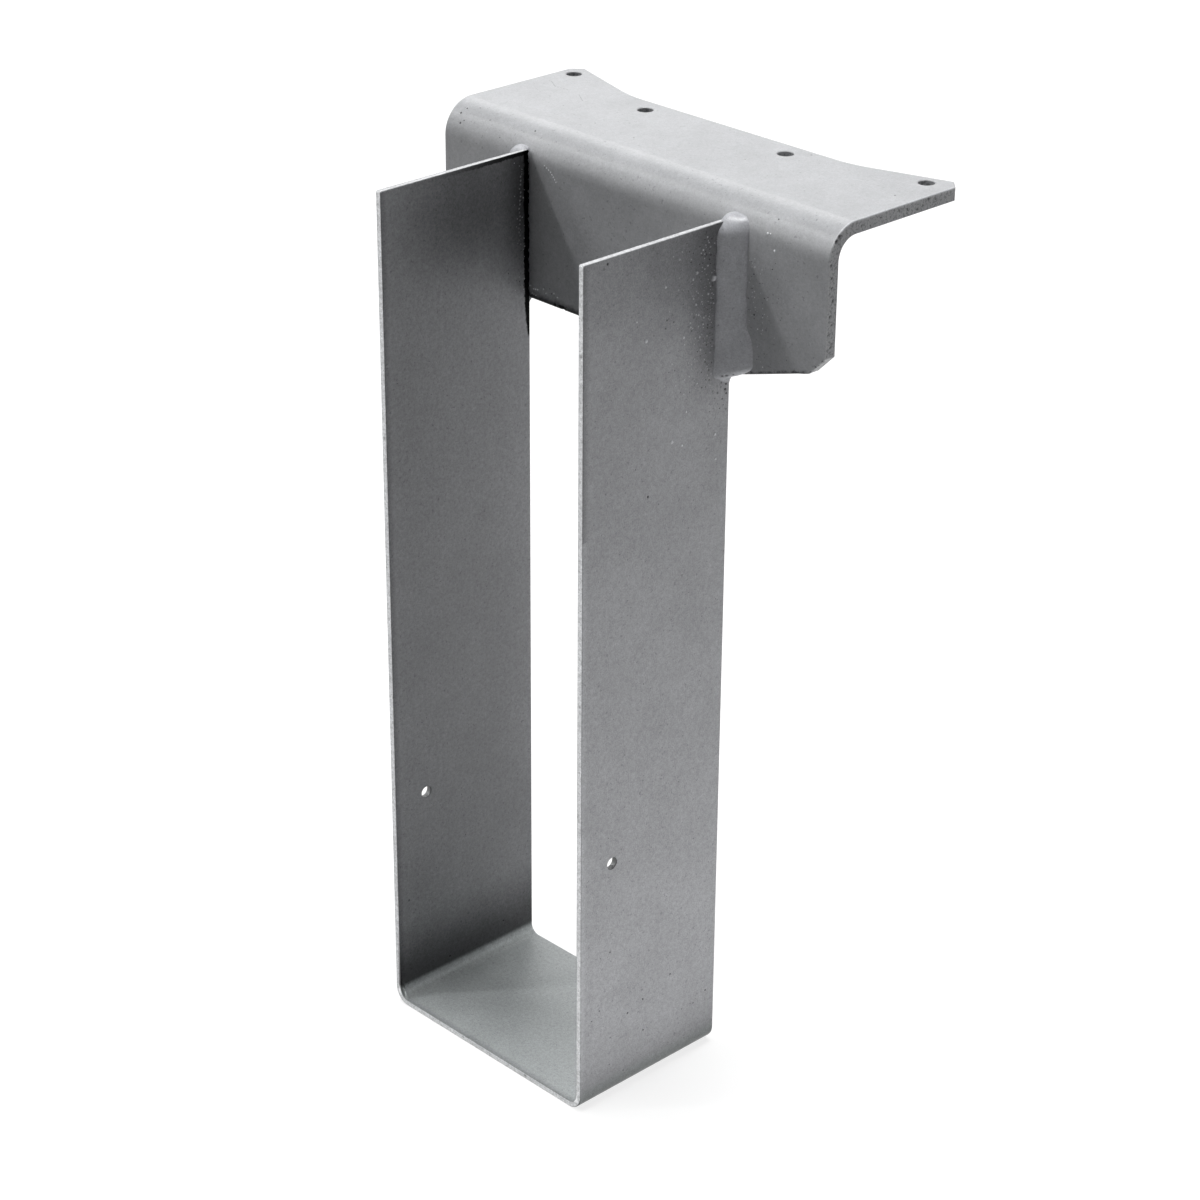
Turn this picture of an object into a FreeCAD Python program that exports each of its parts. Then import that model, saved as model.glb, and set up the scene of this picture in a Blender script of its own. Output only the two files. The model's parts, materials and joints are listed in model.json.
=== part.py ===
import FreeCAD, Part
import Sketcher
import math
import os

# Purlin hanger: a heavy plate folded into a nailing flange and a face plate,
# with a U-shaped strip, the stirrup, welded to the front of the face plate.
# Millimetres. The origin is the centre of the seat's top face, on which the purlin
# bears. X runs along the flange, +Y goes back towards the header and +Z is up.

SIZES = (
    ("purlin_width", 90.5, "clear width between the legs"),
    ("leg_depth", 63.5, "front edge to rear edge of a leg, and so the length of the seat"),
    ("stirrup_gauge", 2.3, "thickness of the strip"),
    ("seat_bend_radius", 3.5, "inner radius of the bends beside the seat"),
    ("hanger_height", 301.6, "top of the seat up to the underside of the flange"),
    ("leg_top_drop", 6.8, "top of the flange down to the top of a leg"),
    ("leg_hole_diameter", 4.1, "nail hole in a leg"),
    ("leg_hole_from_front", 13.9, "front edge of a leg back to its nail hole"),
    ("right_hole_height", 89.5, "top of the seat up to the right leg's nail hole"),
    ("left_hole_height", 77.9, "top of the seat up to the left leg's nail hole"),
    ("plate_gauge", 4.5, "thickness of the folded plate"),
    ("flange_bend_radius", 7.2, "inner radius of the plate's bend"),
    ("flange_length", 174.6, "end to end of the flange and the face plate"),
    ("flange_depth", 50.6, "front of the face plate back to the straight middle of the back edge"),
    ("face_drop", 58.4, "top of the flange down to the straight middle of the lower edge"),
    ("wing_start", 50.0, "middle of the flange out to where its back edge turns"),
    ("wing_angle", 17.5, "degrees that the back edge turns away at each wing"),
    ("wing_curve_radius", 45.0, "radius of that turn"),
    ("wing_clip", 3.8, "corner cut from the tip of each wing"),
    ("lower_start", 48.5, "middle of the face plate out to where its lower edge rises"),
    ("lower_angle", 17.0, "degrees that the lower edge rises towards each end"),
    ("lower_clip", 6.5, "corner cut from each end of the lower edge"),
    ("nail_diameter", 5.2, "nail hole in the flange"),
    ("inner_nail_spacing", 63.7, "centre to centre of the inner pair of nail holes"),
    ("inner_nail_offset", 3.3, "how far to the left of the middle the inner pair was punched"),
    ("inner_nail_margin", 7.5, "back edge forward to the inner pair"),
    ("outer_nail_end", 7.5, "ends of the flange in to the outer pair of nail holes"),
    ("outer_nail_offset", 1.6, "how far to the left of the middle the outer pair was punched"),
    ("outer_nail_margin", 5.9, "back edge forward to the outer pair"),
    ("bead_on_leg", 7.4, "width of the weld bead on the leg"),
    ("bead_on_plate", 6.6, "width of the weld bead on the face plate"),
    ("foot_on_plate", 9.7, "width on the face plate of the bead's thicker foot"),
    ("foot_height", 6.0, "lower edge of the face plate up to where its foot is widest"),
    ("foot_rise", 16.3, "lower edge of the face plate up to where the foot has narrowed"),
    ("bead_bulge", 1.0, "rise of the bead's face over a straight line from toe to toe"),
    ("bead_root", 1.0, "how far behind the leg the bead fills the hollow under the bend"),
    ("crown_rise", 2.8, "top of the leg up to the top of the bead's rounded crown"),
    ("crown_height", 7.0, "start of the crown's rounding up to its top"),
    ("cap_radius", 3.05, "cap of weld metal over the leg's top corner"),
    ("cap_behind", 0.75, "front of the face plate back to the middle of the cap"),
    ("cap_rise", 2.6, "top of the leg up to the top of the cap"),
    ("tail_radius", 5.2, "round end of the bead on the leg, seen from the side"),
    ("tail_bulge", 2.8, "how far that end stands out from the leg"),
    ("tail_drop", 2.6, "lower edge of the face plate down to the bottom of that end"),
    ("tail_behind", 2.0, "rear edge of the leg back to the rear of that end"),
    ("return_radius", 3.0, "bead turned under the plate, round the leg's rear edge"),
    ("return_behind", 0.7, "front of the face plate back to the middle of that turn"),
)

# The weld is sunk into the steel behind it by this share of the steel's thickness, and
# the steel is then cut out of it, so that weld and steel meet face to face.
SINK = 0.85

# The angles, in degrees, by which the bead's crown has rounded off at its sections.
CROWN_ANGLES = (30, 55, 78)

# The bead is this much smaller, as a share, at its bottom end and at its middle.
END_SHARE = 0.9
MIDDLE_SHARE = 0.97

# A cut runs this far past the edge that it trims.
OVERRUN = 10.0

LEG_OUTER = "(Sizes.purlin_width / 2 + Sizes.stirrup_gauge)"
FACE_FRONT = "(Sizes.leg_depth / 2)"
FLANGE_TOP = "(Sizes.hanger_height + Sizes.plate_gauge)"
LEG_TOP = f"({FLANGE_TOP} - Sizes.leg_top_drop)"
FACE_BOTTOM = f"({FLANGE_TOP} - Sizes.face_drop)"
HALF_LENGTH = "(Sizes.flange_length / 2)"
BACK_EDGE = f"({FACE_FRONT} + Sizes.flange_depth)"
WING_SLOPE = "tan(Sizes.wing_angle * 1 deg)"
LOWER_SLOPE = "tan(Sizes.lower_angle * 1 deg)"
CROWN_START = f"({LEG_TOP} + Sizes.crown_rise - Sizes.crown_height)"
LEG_MIDDLE = f"({LEG_OUTER} - Sizes.stirrup_gauge / 2)"
OUTER_NAIL = f"({HALF_LENGTH} - Sizes.outer_nail_end)"
WING_REACH = f"(({HALF_LENGTH} - Sizes.wing_start) * {WING_SLOPE})"

doc = FreeCAD.newDocument("purlin_hanger")


def make_sheet():
    sheet = doc.addObject("Spreadsheet::Sheet", "Sizes")
    for row, (alias, value, meaning) in enumerate(SIZES, start=1):
        sheet.set(f"A{row}", alias)
        sheet.set(f"B{row}", str(value))
        sheet.set(f"C{row}", meaning)
        sheet.setAlias(f"B{row}", alias)
    doc.recompute()
    return sheet


sizes = make_sheet()


def value_of(expression):
    """Work an expression out from the sheet, to place a sketch's first draft."""
    return float(sizes.evalExpression(expression))


def make_body(label):
    body = doc.addObject("PartDesign::Body", label)
    body.Label = label
    return body


def make_sketch(body, name, role):
    sketch = body.newObject("Sketcher::SketchObject", name)
    plane = next(item for item in body.Origin.OriginFeatures if item.Role == role)
    sketch.AttachmentSupport = [(plane, "")]
    sketch.MapMode = "FlatFace"
    return sketch


def corner_arc(before, corner, after, radius):
    """The arc that rounds a corner, as its two ends and its middle."""
    into = (before - corner).normalize()
    out = (after - corner).normalize()
    half_angle = into.getAngle(out) / 2
    setback = radius / math.tan(half_angle)
    centre = corner + (into + out).normalize() * (radius / math.sin(half_angle))
    middle = centre + (corner - centre).normalize() * radius
    return corner + into * setback, middle, corner + out * setback


def arc_end(sketch, arc, point):
    """Which end of the arc, 1 or 2, lies at the point."""
    start = sketch.getPoint(arc, 1)
    finish = sketch.getPoint(arc, 2)
    return 1 if start.distanceToPoint(point) < finish.distanceToPoint(point) else 2


def draw_outline(sketch, corners):
    """Draw a closed outline from (x, y, radius) expressions, one line for each side.

    Returns the numbers of the lines, in order from the first corner, and of the arcs.
    """
    places = [FreeCAD.Vector(value_of(x), value_of(y), 0) for x, y, radius in corners]
    count = len(corners)
    ends = []
    for index, (x, y, radius) in enumerate(corners):
        if radius:
            before = places[index - 1]
            after = places[(index + 1) % count]
            ends.append(corner_arc(before, places[index], after, value_of(radius)))
        else:
            ends.append((places[index], None, places[index]))
    lines = []
    for index in range(count):
        side = Part.LineSegment(ends[index][2], ends[(index + 1) % count][0])
        lines.append(sketch.addGeometry(side, False))
    arcs = {}
    for index, (start, middle, finish) in enumerate(ends):
        arriving = lines[index - 1]
        leaving = lines[index]
        if middle is None:
            sketch.addConstraint(Sketcher.Constraint("Coincident", arriving, 2, leaving, 1))
        else:
            arc = sketch.addGeometry(Part.Arc(start, middle, finish), False)
            near = arc_end(sketch, arc, start)
            sketch.addConstraint(Sketcher.Constraint("Tangent", arriving, 2, arc, near))
            sketch.addConstraint(Sketcher.Constraint("Tangent", arc, 3 - near, leaving, 1))
            arcs[index] = arc
    return lines, arcs


def size(sketch, name, kind, places, expression):
    """Add a named dimension to a sketch and bind it to the sheet."""
    number = value_of(expression)
    if kind == "Angle":
        number = math.radians(number)
    constraint = sketch.addConstraint(Sketcher.Constraint(kind, *places, number))
    sketch.renameConstraint(constraint, name)
    sketch.setExpression(f"Constraints.{name}", expression)


def flat(sketch, *lines):
    for line in lines:
        sketch.addConstraint(Sketcher.Constraint("Horizontal", line))


def upright(sketch, *lines):
    for line in lines:
        sketch.addConstraint(Sketcher.Constraint("Vertical", line))


def cut_through(body, name, sketch, reverse):
    """Pocket a sketch right through the body, on one side of its plane."""
    doc.recompute()
    before = body.Shape.Volume
    pocket = body.newObject("PartDesign::Pocket", name)
    pocket.Profile = sketch
    pocket.Type = "ThroughAll"
    pocket.Reversed = reverse
    doc.recompute()
    if body.Shape.Volume >= before:
        raise RuntimeError(f"{name} removes nothing")
    return pocket


def fold_plate(body):
    """The L of the flange and the face plate, along its whole length."""
    depth = f"({BACK_EDGE} + {WING_REACH} + {OVERRUN})"
    rear = f"({FACE_FRONT} + Sizes.plate_gauge)"
    sketch = make_sketch(body, "plate_profile", "YZ_Plane")
    lines, arcs = draw_outline(sketch, [
        (FACE_FRONT, FACE_BOTTOM, None),
        (FACE_FRONT, FLANGE_TOP, "Sizes.flange_bend_radius + Sizes.plate_gauge"),
        (depth, FLANGE_TOP, None),
        (depth, "Sizes.hanger_height", None),
        (rear, "Sizes.hanger_height", "Sizes.flange_bend_radius"),
        (rear, FACE_BOTTOM, None),
    ])
    front, top, tip, underside, back, bottom = lines
    upright(sketch, front, tip, back)
    flat(sketch, top, underside, bottom)
    sketch.addConstraint(Sketcher.Constraint("Coincident", arcs[1], 3, arcs[4], 3))
    size(sketch, "face_front", "DistanceX", (-1, 1, front, 1), FACE_FRONT)
    size(sketch, "face_bottom", "DistanceY", (-1, 1, front, 1), FACE_BOTTOM)
    size(sketch, "flange_top", "DistanceY", (-1, 1, top, 2), FLANGE_TOP)
    size(sketch, "blank_depth", "DistanceX", (-1, 1, top, 2), depth)
    size(sketch, "plate_gauge", "DistanceY", (tip, 2, tip, 1), "Sizes.plate_gauge")
    size(sketch, "bend_radius", "Radius", (arcs[4],), "Sizes.flange_bend_radius")
    pad = body.newObject("PartDesign::Pad", "folded_plate")
    pad.Profile = sketch
    pad.Midplane = True
    pad.setExpression("Length", "Sizes.flange_length")
    doc.recompute()


def shear_back_edge(body):
    """Trim one half of the back edge: straight, then out to a wing with a clipped tip."""
    clip_x = f"({HALF_LENGTH} - Sizes.wing_clip)"
    clip_y = f"({BACK_EDGE} + {WING_REACH} - Sizes.wing_clip * {WING_SLOPE})"
    end_y = f"({clip_y} - Sizes.wing_clip)"
    outside = f"({HALF_LENGTH} + {OVERRUN})"
    beyond = f"({BACK_EDGE} + {WING_REACH} + 2 * {OVERRUN})"
    sketch = make_sketch(body, "back_edge_outline", "XY_Plane")
    lines, arcs = draw_outline(sketch, [
        ("0", BACK_EDGE, None),
        ("Sizes.wing_start", BACK_EDGE, "Sizes.wing_curve_radius"),
        (clip_x, clip_y, None),
        (HALF_LENGTH, end_y, None),
        (outside, end_y, None),
        (outside, beyond, None),
        ("0", beyond, None),
    ])
    straight, wing, clip, step, side, far, middle = lines
    flat(sketch, straight, step, far)
    upright(sketch, side, middle)
    sketch.addConstraint(Sketcher.Constraint("PointOnObject", straight, 1, -2))
    size(sketch, "back_edge", "DistanceY", (-1, 1, straight, 1), BACK_EDGE)
    size(sketch, "curve_radius", "Radius", (arcs[1],), "Sizes.wing_curve_radius")
    size(sketch, "wing_angle", "Angle", (straight, 1, wing, 1), "Sizes.wing_angle")
    size(sketch, "clip_x", "DistanceX", (-1, 1, clip, 1), clip_x)
    size(sketch, "clip_y", "DistanceY", (-1, 1, clip, 1), clip_y)
    size(sketch, "end_x", "DistanceX", (-1, 1, clip, 2), HALF_LENGTH)
    size(sketch, "end_y", "DistanceY", (-1, 1, clip, 2), end_y)
    size(sketch, "outside", "DistanceX", (-1, 1, side, 1), outside)
    size(sketch, "beyond", "DistanceY", (-1, 1, side, 2), beyond)
    return cut_through(body, "back_edge", sketch, True)


def shear_lower_edge(body):
    """Trim one half of the face plate's lower edge, which rises to a clipped corner."""
    rise = f"(({HALF_LENGTH} - Sizes.lower_clip - Sizes.lower_start) * {LOWER_SLOPE})"
    clip_x = f"({HALF_LENGTH} - Sizes.lower_clip)"
    clip_z = f"({FACE_BOTTOM} + {rise})"
    end_z = f"({clip_z} + Sizes.lower_clip)"
    outside = f"({HALF_LENGTH} + {OVERRUN})"
    below = f"({FACE_BOTTOM} - {OVERRUN})"
    sketch = make_sketch(body, "lower_edge_outline", "XZ_Plane")
    lines, arcs = draw_outline(sketch, [
        ("Sizes.lower_start", FACE_BOTTOM, None),
        (clip_x, clip_z, None),
        (HALF_LENGTH, end_z, None),
        (outside, end_z, None),
        (outside, below, None),
        ("Sizes.lower_start", below, None),
    ])
    rising, clip, step, side, far, start = lines
    flat(sketch, step, far)
    upright(sketch, side, start)
    size(sketch, "lower_start", "DistanceX", (-1, 1, rising, 1), "Sizes.lower_start")
    size(sketch, "face_bottom", "DistanceY", (-1, 1, rising, 1), FACE_BOTTOM)
    size(sketch, "clip_x", "DistanceX", (-1, 1, clip, 1), clip_x)
    size(sketch, "clip_z", "DistanceY", (-1, 1, clip, 1), clip_z)
    size(sketch, "end_x", "DistanceX", (-1, 1, clip, 2), HALF_LENGTH)
    size(sketch, "end_z", "DistanceY", (-1, 1, clip, 2), end_z)
    size(sketch, "outside", "DistanceX", (-1, 1, side, 1), outside)
    size(sketch, "below", "DistanceY", (-1, 1, side, 2), below)
    return cut_through(body, "lower_edge", sketch, False)


def draw_hole(sketch, name, across, along, diameter):
    """A round hole at a place in the sketch, with its centre and diameter bound."""
    centre = FreeCAD.Vector(value_of(across), value_of(along), 0)
    circle = Part.Circle(centre, FreeCAD.Vector(0, 0, 1), value_of(diameter) / 2)
    hole = sketch.addGeometry(circle, False)
    size(sketch, f"{name}_across", "DistanceX", (-1, 1, hole, 3), across)
    size(sketch, f"{name}_along", "DistanceY", (-1, 1, hole, 3), along)
    size(sketch, f"{name}_diameter", "Diameter", (hole,), diameter)


def punch_flange(body):
    """The flange's nail holes, which follow its back edge in two pairs."""
    outer_rise = f"(({OUTER_NAIL} - Sizes.wing_start) * {WING_SLOPE})"
    pairs = {
        "inner": ("Sizes.inner_nail_spacing / 2", f"{BACK_EDGE} - Sizes.inner_nail_margin"),
        "outer": (OUTER_NAIL, f"{BACK_EDGE} + {outer_rise} - Sizes.outer_nail_margin"),
    }
    sketch = make_sketch(body, "nail_places", "XY_Plane")
    for pair, (out, along) in pairs.items():
        for side, sign in (("left", "-"), ("right", "+")):
            across = f"{sign} {out} - Sizes.{pair}_nail_offset"
            draw_hole(sketch, f"{pair}_{side}", across, along, "Sizes.nail_diameter")
    return cut_through(body, "nail_holes", sketch, True)


def make_top_flange():
    body = make_body("top_flange")
    fold_plate(body)
    half_cuts = [shear_back_edge(body), shear_lower_edge(body)]
    mirror = body.newObject("PartDesign::Mirrored", "other_half")
    mirror.Originals = half_cuts
    middle = next(item for item in body.Origin.OriginFeatures if item.Role == "YZ_Plane")
    mirror.MirrorPlane = (middle, [""])
    body.Tip = mirror
    punch_flange(body)
    return body


def make_stirrup():
    body = make_body("stirrup")
    inner = "(Sizes.purlin_width / 2)"
    sketch = make_sketch(body, "strip_profile", "XZ_Plane")
    outer_radius = "Sizes.seat_bend_radius + Sizes.stirrup_gauge"
    lines, arcs = draw_outline(sketch, [
        (f"-{LEG_OUTER}", LEG_TOP, None),
        (f"-{LEG_OUTER}", "-Sizes.stirrup_gauge", outer_radius),
        (LEG_OUTER, "-Sizes.stirrup_gauge", outer_radius),
        (LEG_OUTER, LEG_TOP, None),
        (inner, LEG_TOP, None),
        (inner, "0", "Sizes.seat_bend_radius"),
        (f"-{inner}", "0", "Sizes.seat_bend_radius"),
        (f"-{inner}", LEG_TOP, None),
    ])
    left_out, underside, right_out, right_top, right_in, seat, left_in, left_top = lines
    upright(sketch, left_out, right_out, right_in, left_in)
    flat(sketch, underside, right_top, seat, left_top)
    for outside, inside in ((arcs[1], arcs[6]), (arcs[2], arcs[5])):
        sketch.addConstraint(Sketcher.Constraint("Coincident", outside, 3, inside, 3))
    sketch.addConstraint(Sketcher.Constraint("PointOnObject", seat, 1, -1))
    sketch.addConstraint(Sketcher.Constraint("Symmetric", left_in, 2, right_in, 1, -2))
    size(sketch, "purlin_width", "DistanceX", (left_in, 2, right_in, 1), "Sizes.purlin_width")
    size(sketch, "stirrup_gauge", "DistanceX", (left_top, 2, left_top, 1), "Sizes.stirrup_gauge")
    size(sketch, "leg_top", "DistanceY", (-1, 1, left_top, 1), LEG_TOP)
    size(sketch, "left_bend", "Radius", (arcs[6],), "Sizes.seat_bend_radius")
    size(sketch, "right_bend", "Radius", (arcs[5],), "Sizes.seat_bend_radius")
    pad = body.newObject("PartDesign::Pad", "folded_strip")
    pad.Profile = sketch
    pad.Midplane = True
    pad.setExpression("Length", "Sizes.leg_depth")
    hole_y = f"(Sizes.leg_hole_from_front - {FACE_FRONT})"
    for side, reverse in (("right", True), ("left", False)):
        sketch = make_sketch(body, f"{side}_hole_place", "YZ_Plane")
        draw_hole(sketch, side, hole_y, f"Sizes.{side}_hole_height", "Sizes.leg_hole_diameter")
        cut_through(body, f"{side}_nail_hole", sketch, reverse)
    return body


def draw_bead(body, name, level, on_plate, share):
    """One level section of the right weld, with a convex face from leg to face plate."""
    on_leg = f"(Sizes.bead_on_leg * {share})"
    on_plate = f"({on_plate} * {share})"
    bulge = f"(Sizes.bead_bulge * {share})"
    behind = f"({FACE_FRONT} + {SINK} * Sizes.plate_gauge)"
    sunk = f"({LEG_OUTER} - Sizes.bead_root)"
    leg_toe = f"({FACE_FRONT} - {on_leg})"
    plate_toe = f"({LEG_OUTER} + {on_plate})"
    radius = f"((({on_leg} ^ 2 + {on_plate} ^ 2) / 4 + {bulge} ^ 2) / (2 * {bulge}))"
    sketch = make_sketch(body, name, "XY_Plane")
    sketch.setExpression("AttachmentOffset.Base.z", level)
    start = FreeCAD.Vector(value_of(LEG_OUTER), value_of(leg_toe), 0)
    finish = FreeCAD.Vector(value_of(plate_toe), value_of(FACE_FRONT), 0)
    outward = FreeCAD.Vector(value_of(on_leg), -value_of(on_plate), 0).normalize()
    crest = (start + finish) / 2 + outward * value_of(bulge)
    corners = [
        finish,
        FreeCAD.Vector(finish.x, value_of(behind), 0),
        FreeCAD.Vector(value_of(sunk), value_of(behind), 0),
        FreeCAD.Vector(value_of(sunk), start.y, 0),
        start,
    ]
    sides = [
        sketch.addGeometry(Part.LineSegment(here, there), False)
        for here, there in zip(corners, corners[1:])
    ]
    for first, second in zip(sides, sides[1:]):
        sketch.addConstraint(Sketcher.Constraint("Coincident", first, 2, second, 1))
    plate_side, back_side, leg_side, toe_side = sides
    face = sketch.addGeometry(Part.Arc(start, crest, finish), False)
    near = arc_end(sketch, face, start)
    sketch.addConstraint(Sketcher.Constraint("Coincident", toe_side, 2, face, near))
    sketch.addConstraint(Sketcher.Constraint("Coincident", face, 3 - near, plate_side, 1))
    upright(sketch, plate_side, leg_side)
    flat(sketch, back_side, toe_side)
    size(sketch, "plate_toe", "DistanceX", (-1, 1, plate_side, 1), plate_toe)
    size(sketch, "face_front", "DistanceY", (-1, 1, plate_side, 1), FACE_FRONT)
    size(sketch, "behind", "DistanceY", (-1, 1, back_side, 1), behind)
    size(sketch, "sunk", "DistanceX", (-1, 1, leg_side, 1), sunk)
    size(sketch, "leg_outer", "DistanceX", (-1, 1, toe_side, 2), LEG_OUTER)
    size(sketch, "leg_toe", "DistanceY", (-1, 1, toe_side, 2), leg_toe)
    size(sketch, "face_radius", "Radius", (face,), radius)
    return sketch


def make_run():
    """The right weld's foot, run and crown, lofted up the corner of leg and plate."""
    foot_top = f"({FACE_BOTTOM} + Sizes.foot_rise)"
    run = [
        (FACE_BOTTOM, "Sizes.foot_on_plate", END_SHARE),
        (f"{FACE_BOTTOM} + Sizes.foot_height", "Sizes.foot_on_plate", 1),
        (foot_top, "Sizes.bead_on_plate", 1),
        (f"({foot_top} + {CROWN_START}) / 2", "Sizes.bead_on_plate", MIDDLE_SHARE),
        (CROWN_START, "Sizes.bead_on_plate", 1),
    ]
    for angle in CROWN_ANGLES:
        level = f"{CROWN_START} + Sizes.crown_height * sin({angle} deg)"
        run.append((level, "Sizes.bead_on_plate", f"cos({angle} deg)"))
    body = make_body("weld_run")
    sections = [
        draw_bead(body, f"section_{number}", level, on_plate, share)
        for number, (level, on_plate, share) in enumerate(run)
    ]
    loft = body.newObject("PartDesign::AdditiveLoft", "bead")
    loft.Profile = sections[0]
    loft.Sections = sections[1:]
    loft.Ruled = True
    doc.recompute()
    return body


def make_ball(name, radius, centre, pole, seam):
    """A ball of weld metal, turned so that its seam lies in the steel."""
    ball = doc.addObject("Part::Sphere", name)
    ball.setExpression("Radius", radius)
    across = FreeCAD.Vector(*pole).cross(FreeCAD.Vector(*seam))
    ball.Placement.Rotation = FreeCAD.Rotation(FreeCAD.Vector(*seam), across, FreeCAD.Vector(*pole))
    for axis, expression in zip("xyz", centre):
        ball.setExpression(f"Placement.Base.{axis}", expression)
    return ball


def make_cap():
    """The weld metal that laps over the leg's top corner and runs up the bend."""
    y = f"{FACE_FRONT} + Sizes.cap_behind"
    z = f"{LEG_TOP} + Sizes.cap_rise - Sizes.cap_radius"
    pole = (0, 1, 1)
    seam = (0, 1, -1)
    return make_ball("weld_cap", "Sizes.cap_radius", (LEG_MIDDLE, y, z), pole, seam)


def make_tail():
    """The round bottom end of the right weld on the leg, a little below the plate."""
    bulge = "Sizes.tail_bulge"
    radius = f"((Sizes.tail_radius ^ 2 + {bulge} ^ 2) / (2 * {bulge}))"
    x = f"{LEG_OUTER} + {bulge} - {radius}"
    y = f"{FACE_FRONT} + Sizes.tail_behind - Sizes.tail_radius"
    z = f"{FACE_BOTTOM} - Sizes.tail_drop + Sizes.tail_radius"
    tail = make_ball("weld_tail", radius, (x, y, z), (1, 0, 0), (0, 0, 1))
    sunk = f"{SINK} * Sizes.stirrup_gauge"
    tail.setExpression("Angle1", f"asin(({radius} - {bulge} - {sunk}) / {radius})")
    return tail


def make_return():
    """The end of the right weld, turned under the plate round the leg's rear edge."""
    y = f"{FACE_FRONT} + Sizes.return_behind"
    centre = (LEG_MIDDLE, y, FACE_BOTTOM)
    return make_ball("weld_return", "Sizes.return_radius", centre, (0, 1, 1), (0, -1, 1))


def make_weld_right(top_flange, stirrup):
    metal = doc.addObject("Part::MultiFuse", "weld_metal")
    metal.Shapes = [make_run(), make_cap(), make_tail(), make_return()]
    clear_of_plate = doc.addObject("Part::Cut", "weld_on_plate")
    clear_of_plate.Base = metal
    clear_of_plate.Tool = top_flange
    weld = doc.addObject("Part::Cut", "weld_right")
    weld.Label = "weld_right"
    weld.Base = clear_of_plate
    weld.Tool = stirrup
    doc.recompute()
    return weld


def make_weld_left(weld_right):
    weld = doc.addObject("Part::Mirroring", "weld_left")
    weld.Label = "weld_left"
    weld.Source = weld_right
    weld.Normal = (1, 0, 0)
    doc.recompute()
    return weld


def check(pieces):
    for item in doc.Objects:
        if "Invalid" in item.State or "Error" in item.State:
            raise RuntimeError(f"{item.Name} failed: {item.State}")
    for piece in pieces:
        if piece.Shape.isNull() or not piece.Shape.isValid():
            raise RuntimeError(f"{piece.Label} has no valid shape")
        if len(piece.Shape.Solids) != 1:
            raise RuntimeError(f"{piece.Label} has {len(piece.Shape.Solids)} solids")


top_flange = make_top_flange()
stirrup = make_stirrup()
weld_right = make_weld_right(top_flange, stirrup)
weld_left = make_weld_left(weld_right)
pieces = [top_flange, stirrup, weld_right, weld_left]
doc.recompute()
check(pieces)

os.makedirs("parts", exist_ok=True)
for piece in pieces:
    piece.Shape.exportStep(f"parts/{piece.Label}.step")
    box = piece.Shape.BoundBox
    print(piece.Label, round(piece.Shape.Volume, 1), "mm3,", box)
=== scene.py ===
import itertools
import json
import math
import random

import bmesh
import bpy
import numpy as np
from mathutils import Matrix, Vector, noise
from mathutils.geometry import delaunay_2d_cdt
from mathutils.kdtree import KDTree


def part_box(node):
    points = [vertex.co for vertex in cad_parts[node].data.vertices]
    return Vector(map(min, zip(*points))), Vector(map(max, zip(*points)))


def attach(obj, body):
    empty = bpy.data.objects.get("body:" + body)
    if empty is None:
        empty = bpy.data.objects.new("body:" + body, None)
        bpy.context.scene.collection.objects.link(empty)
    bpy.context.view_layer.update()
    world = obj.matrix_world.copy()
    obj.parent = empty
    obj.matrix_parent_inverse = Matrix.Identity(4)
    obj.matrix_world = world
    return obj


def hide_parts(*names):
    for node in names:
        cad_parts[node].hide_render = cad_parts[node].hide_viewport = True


# Purlin hanger: the finish of its folded plate, its strip stirrup and its two welds.
# Metres, in the frame's own axes. A MM turns a size given in millimetres into metres.

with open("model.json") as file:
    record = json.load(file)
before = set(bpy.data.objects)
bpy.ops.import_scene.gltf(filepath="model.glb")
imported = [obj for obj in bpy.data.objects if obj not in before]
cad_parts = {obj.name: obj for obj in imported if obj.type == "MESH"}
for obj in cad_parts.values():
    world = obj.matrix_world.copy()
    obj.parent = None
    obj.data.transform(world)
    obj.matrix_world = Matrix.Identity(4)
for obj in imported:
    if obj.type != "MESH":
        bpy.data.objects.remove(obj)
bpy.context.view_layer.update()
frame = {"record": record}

MM = 0.001

# Sizes of the plate that aren't read from the frame.
PLATE_GAUGE = 4.5 * MM
PLATE_BEND = 7.2 * MM
WING_START = 50.0 * MM
WING_ANGLE = math.radians(17.5)
WING_CURVE = 45.0 * MM
WING_CLIP = 3.8 * MM
LOWER_START = 48.5 * MM
LOWER_ANGLE = math.radians(17.0)
LOWER_CLIP = 6.5 * MM

# Sizes of the strip that aren't read from the frame.
STRIP_GAUGE = 2.3 * MM
SEAT_BEND = 3.5 * MM

# The radius of the strip's edges and of the plate's inner ones, and how ragged both are.
EDGE_ROUND = 0.35 * MM
PLATE_RAGGED = (1.3, 0.08 * MM)
STRIP_RAGGED = (1.1, 0.04 * MM)

# How finely the meshes follow the steel.
FACE_STEP = 2.0 * MM
BEND_STEP = 0.6 * MM
EDGE_STEP = 0.5 * MM
WELD_STEP = 0.35 * MM
HOLE_POINTS = 48
CORNER_POINTS = 5
SUPPORT = 0.15 * MM
RIM_STEP = 0.5 * MM
QUARTER = [math.radians(angle) for angle in (0, 22.5, 45, 67.5, 90)]

# How many radii a mark keeps from other points and marks, and from the sheet's edges.
MARK_ROOM = 1.3
MARK_EDGE_ROOM = 1.35
BIG_MARK = 0.38 * MM

# Sizes of the right weld's forms: how far each runs out along the plate and forward along
# the leg, and the levels where its rounding starts and stops, above the plate's lower edge.
BEAD_SIZE = (6.5 * MM, 7.4 * MM)
BEAD_LEVELS = np.array([-0.2, 1.3, 45.8, 52.9]) * MM
FOOT_SIZE = (9.8 * MM, 6.7 * MM)
FOOT_LEVELS = np.array([0.0, 2.8, 5.3, 18.3]) * MM
TAIL_SIZE = (0.5 * MM, 6.0 * MM)
TAIL_LEVELS = np.array([-2.3, 1.5, 2.3, 8.3]) * MM

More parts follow.
